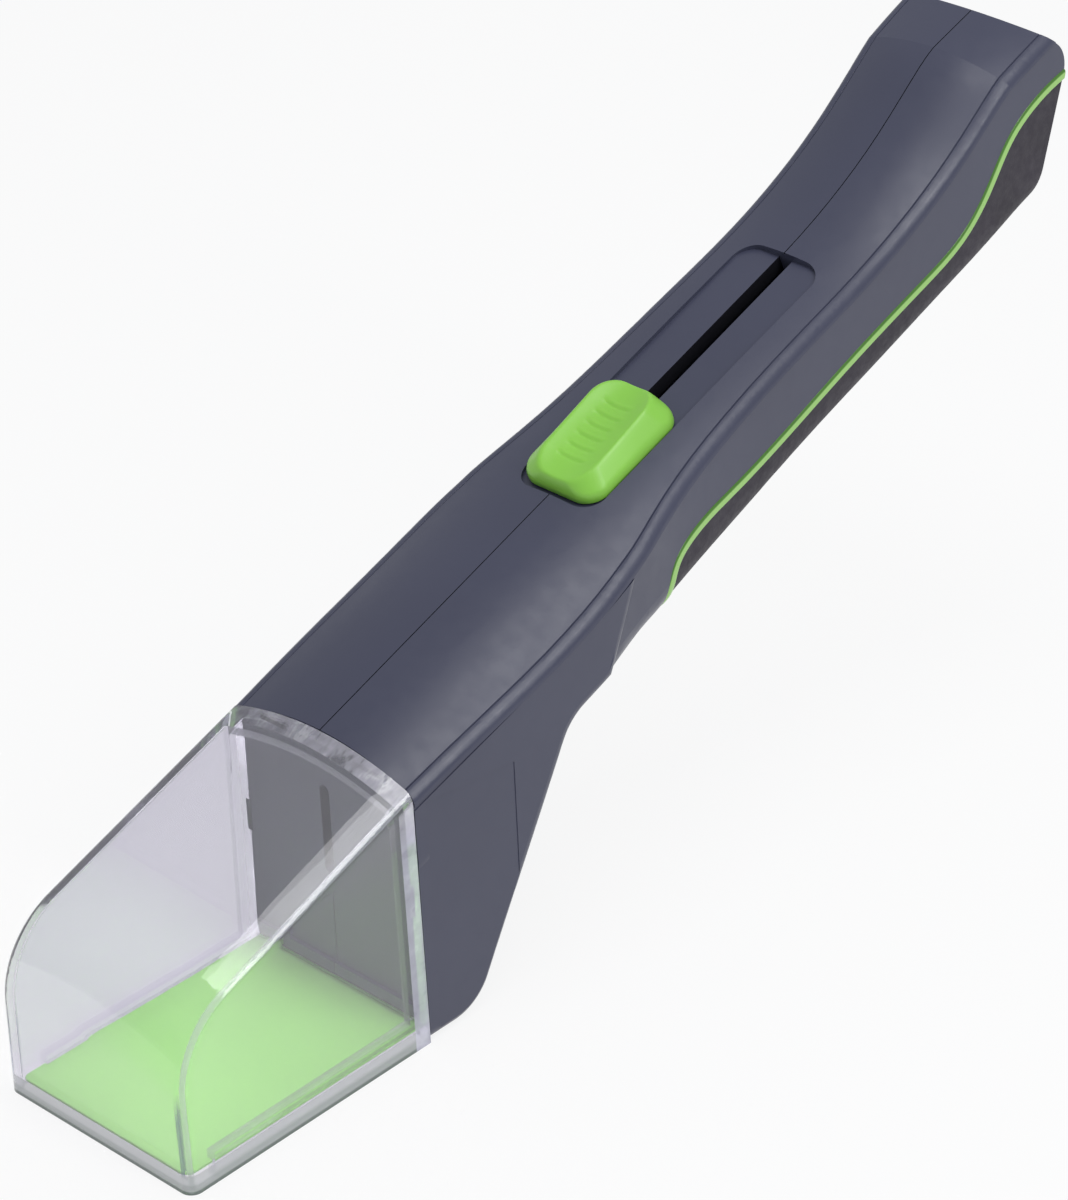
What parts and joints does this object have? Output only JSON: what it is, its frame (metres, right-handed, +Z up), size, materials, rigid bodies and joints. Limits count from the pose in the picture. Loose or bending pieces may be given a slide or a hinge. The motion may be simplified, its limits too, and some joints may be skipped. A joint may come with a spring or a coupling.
{
  "type": "spider catcher",
  "caption": "Hand-held insect catcher: a clear capture chamber on a long crowned handle, with a green shutter drawn across its mouth by a thumb slider.",
  "frame": {"origin": "centre of the capture mouth on the chamber's rim plane", "axes": "+Z up out of the mouth into the chamber, +Y from the chamber's nose to the handle's butt, X across"},
  "size_m": [0.0582, 0.2982, 0.1589],
  "materials": {
    "shell": "satin moulded slate-grey plastic",
    "clear": "clear polished plastic with a faint lavender tint",
    "shutter": "smooth flexible light green sheet",
    "button": "satin lime green plastic",
    "carriage": "black moulded plastic",
    "screw": "zinc-plated steel",
    "grip": "matt dark charcoal rubber",
    "trim": "satin light green plastic"
  },
  "bodies": {
    "housing": {"left_shell": "shell", "right_shell": "shell", "chamber": "clear", "left_grip": "grip", "right_grip": "grip", "left_trim": "trim", "right_trim": "trim", "shell_screws": "screw"},
    "slider": {"slider_button": "button", "slider_carriage": "carriage", "shutter_clamp": "carriage", "slider_screws": "screw", "shutter_tail": "shutter"},
    "door": {"shutter_door": "shutter"}
  },
  "joints": [
    {"name": "thumb_slide", "type": "slide", "parent": "housing", "child": "slider", "axis": [0, 0.9426, 0.3338], "range_m": [0, 0.048], "deforming": ["shutter_tail"]},
    {"name": "door_slide", "type": "slide", "parent": "housing", "child": "door", "axis": [0, 1, 0], "range_m": [0, 0.048], "deforming": ["shutter_door"]}
  ],
  "couplings": [
    {"joint": "door_slide", "follows": "thumb_slide", "ratio": 1}
  ]
}
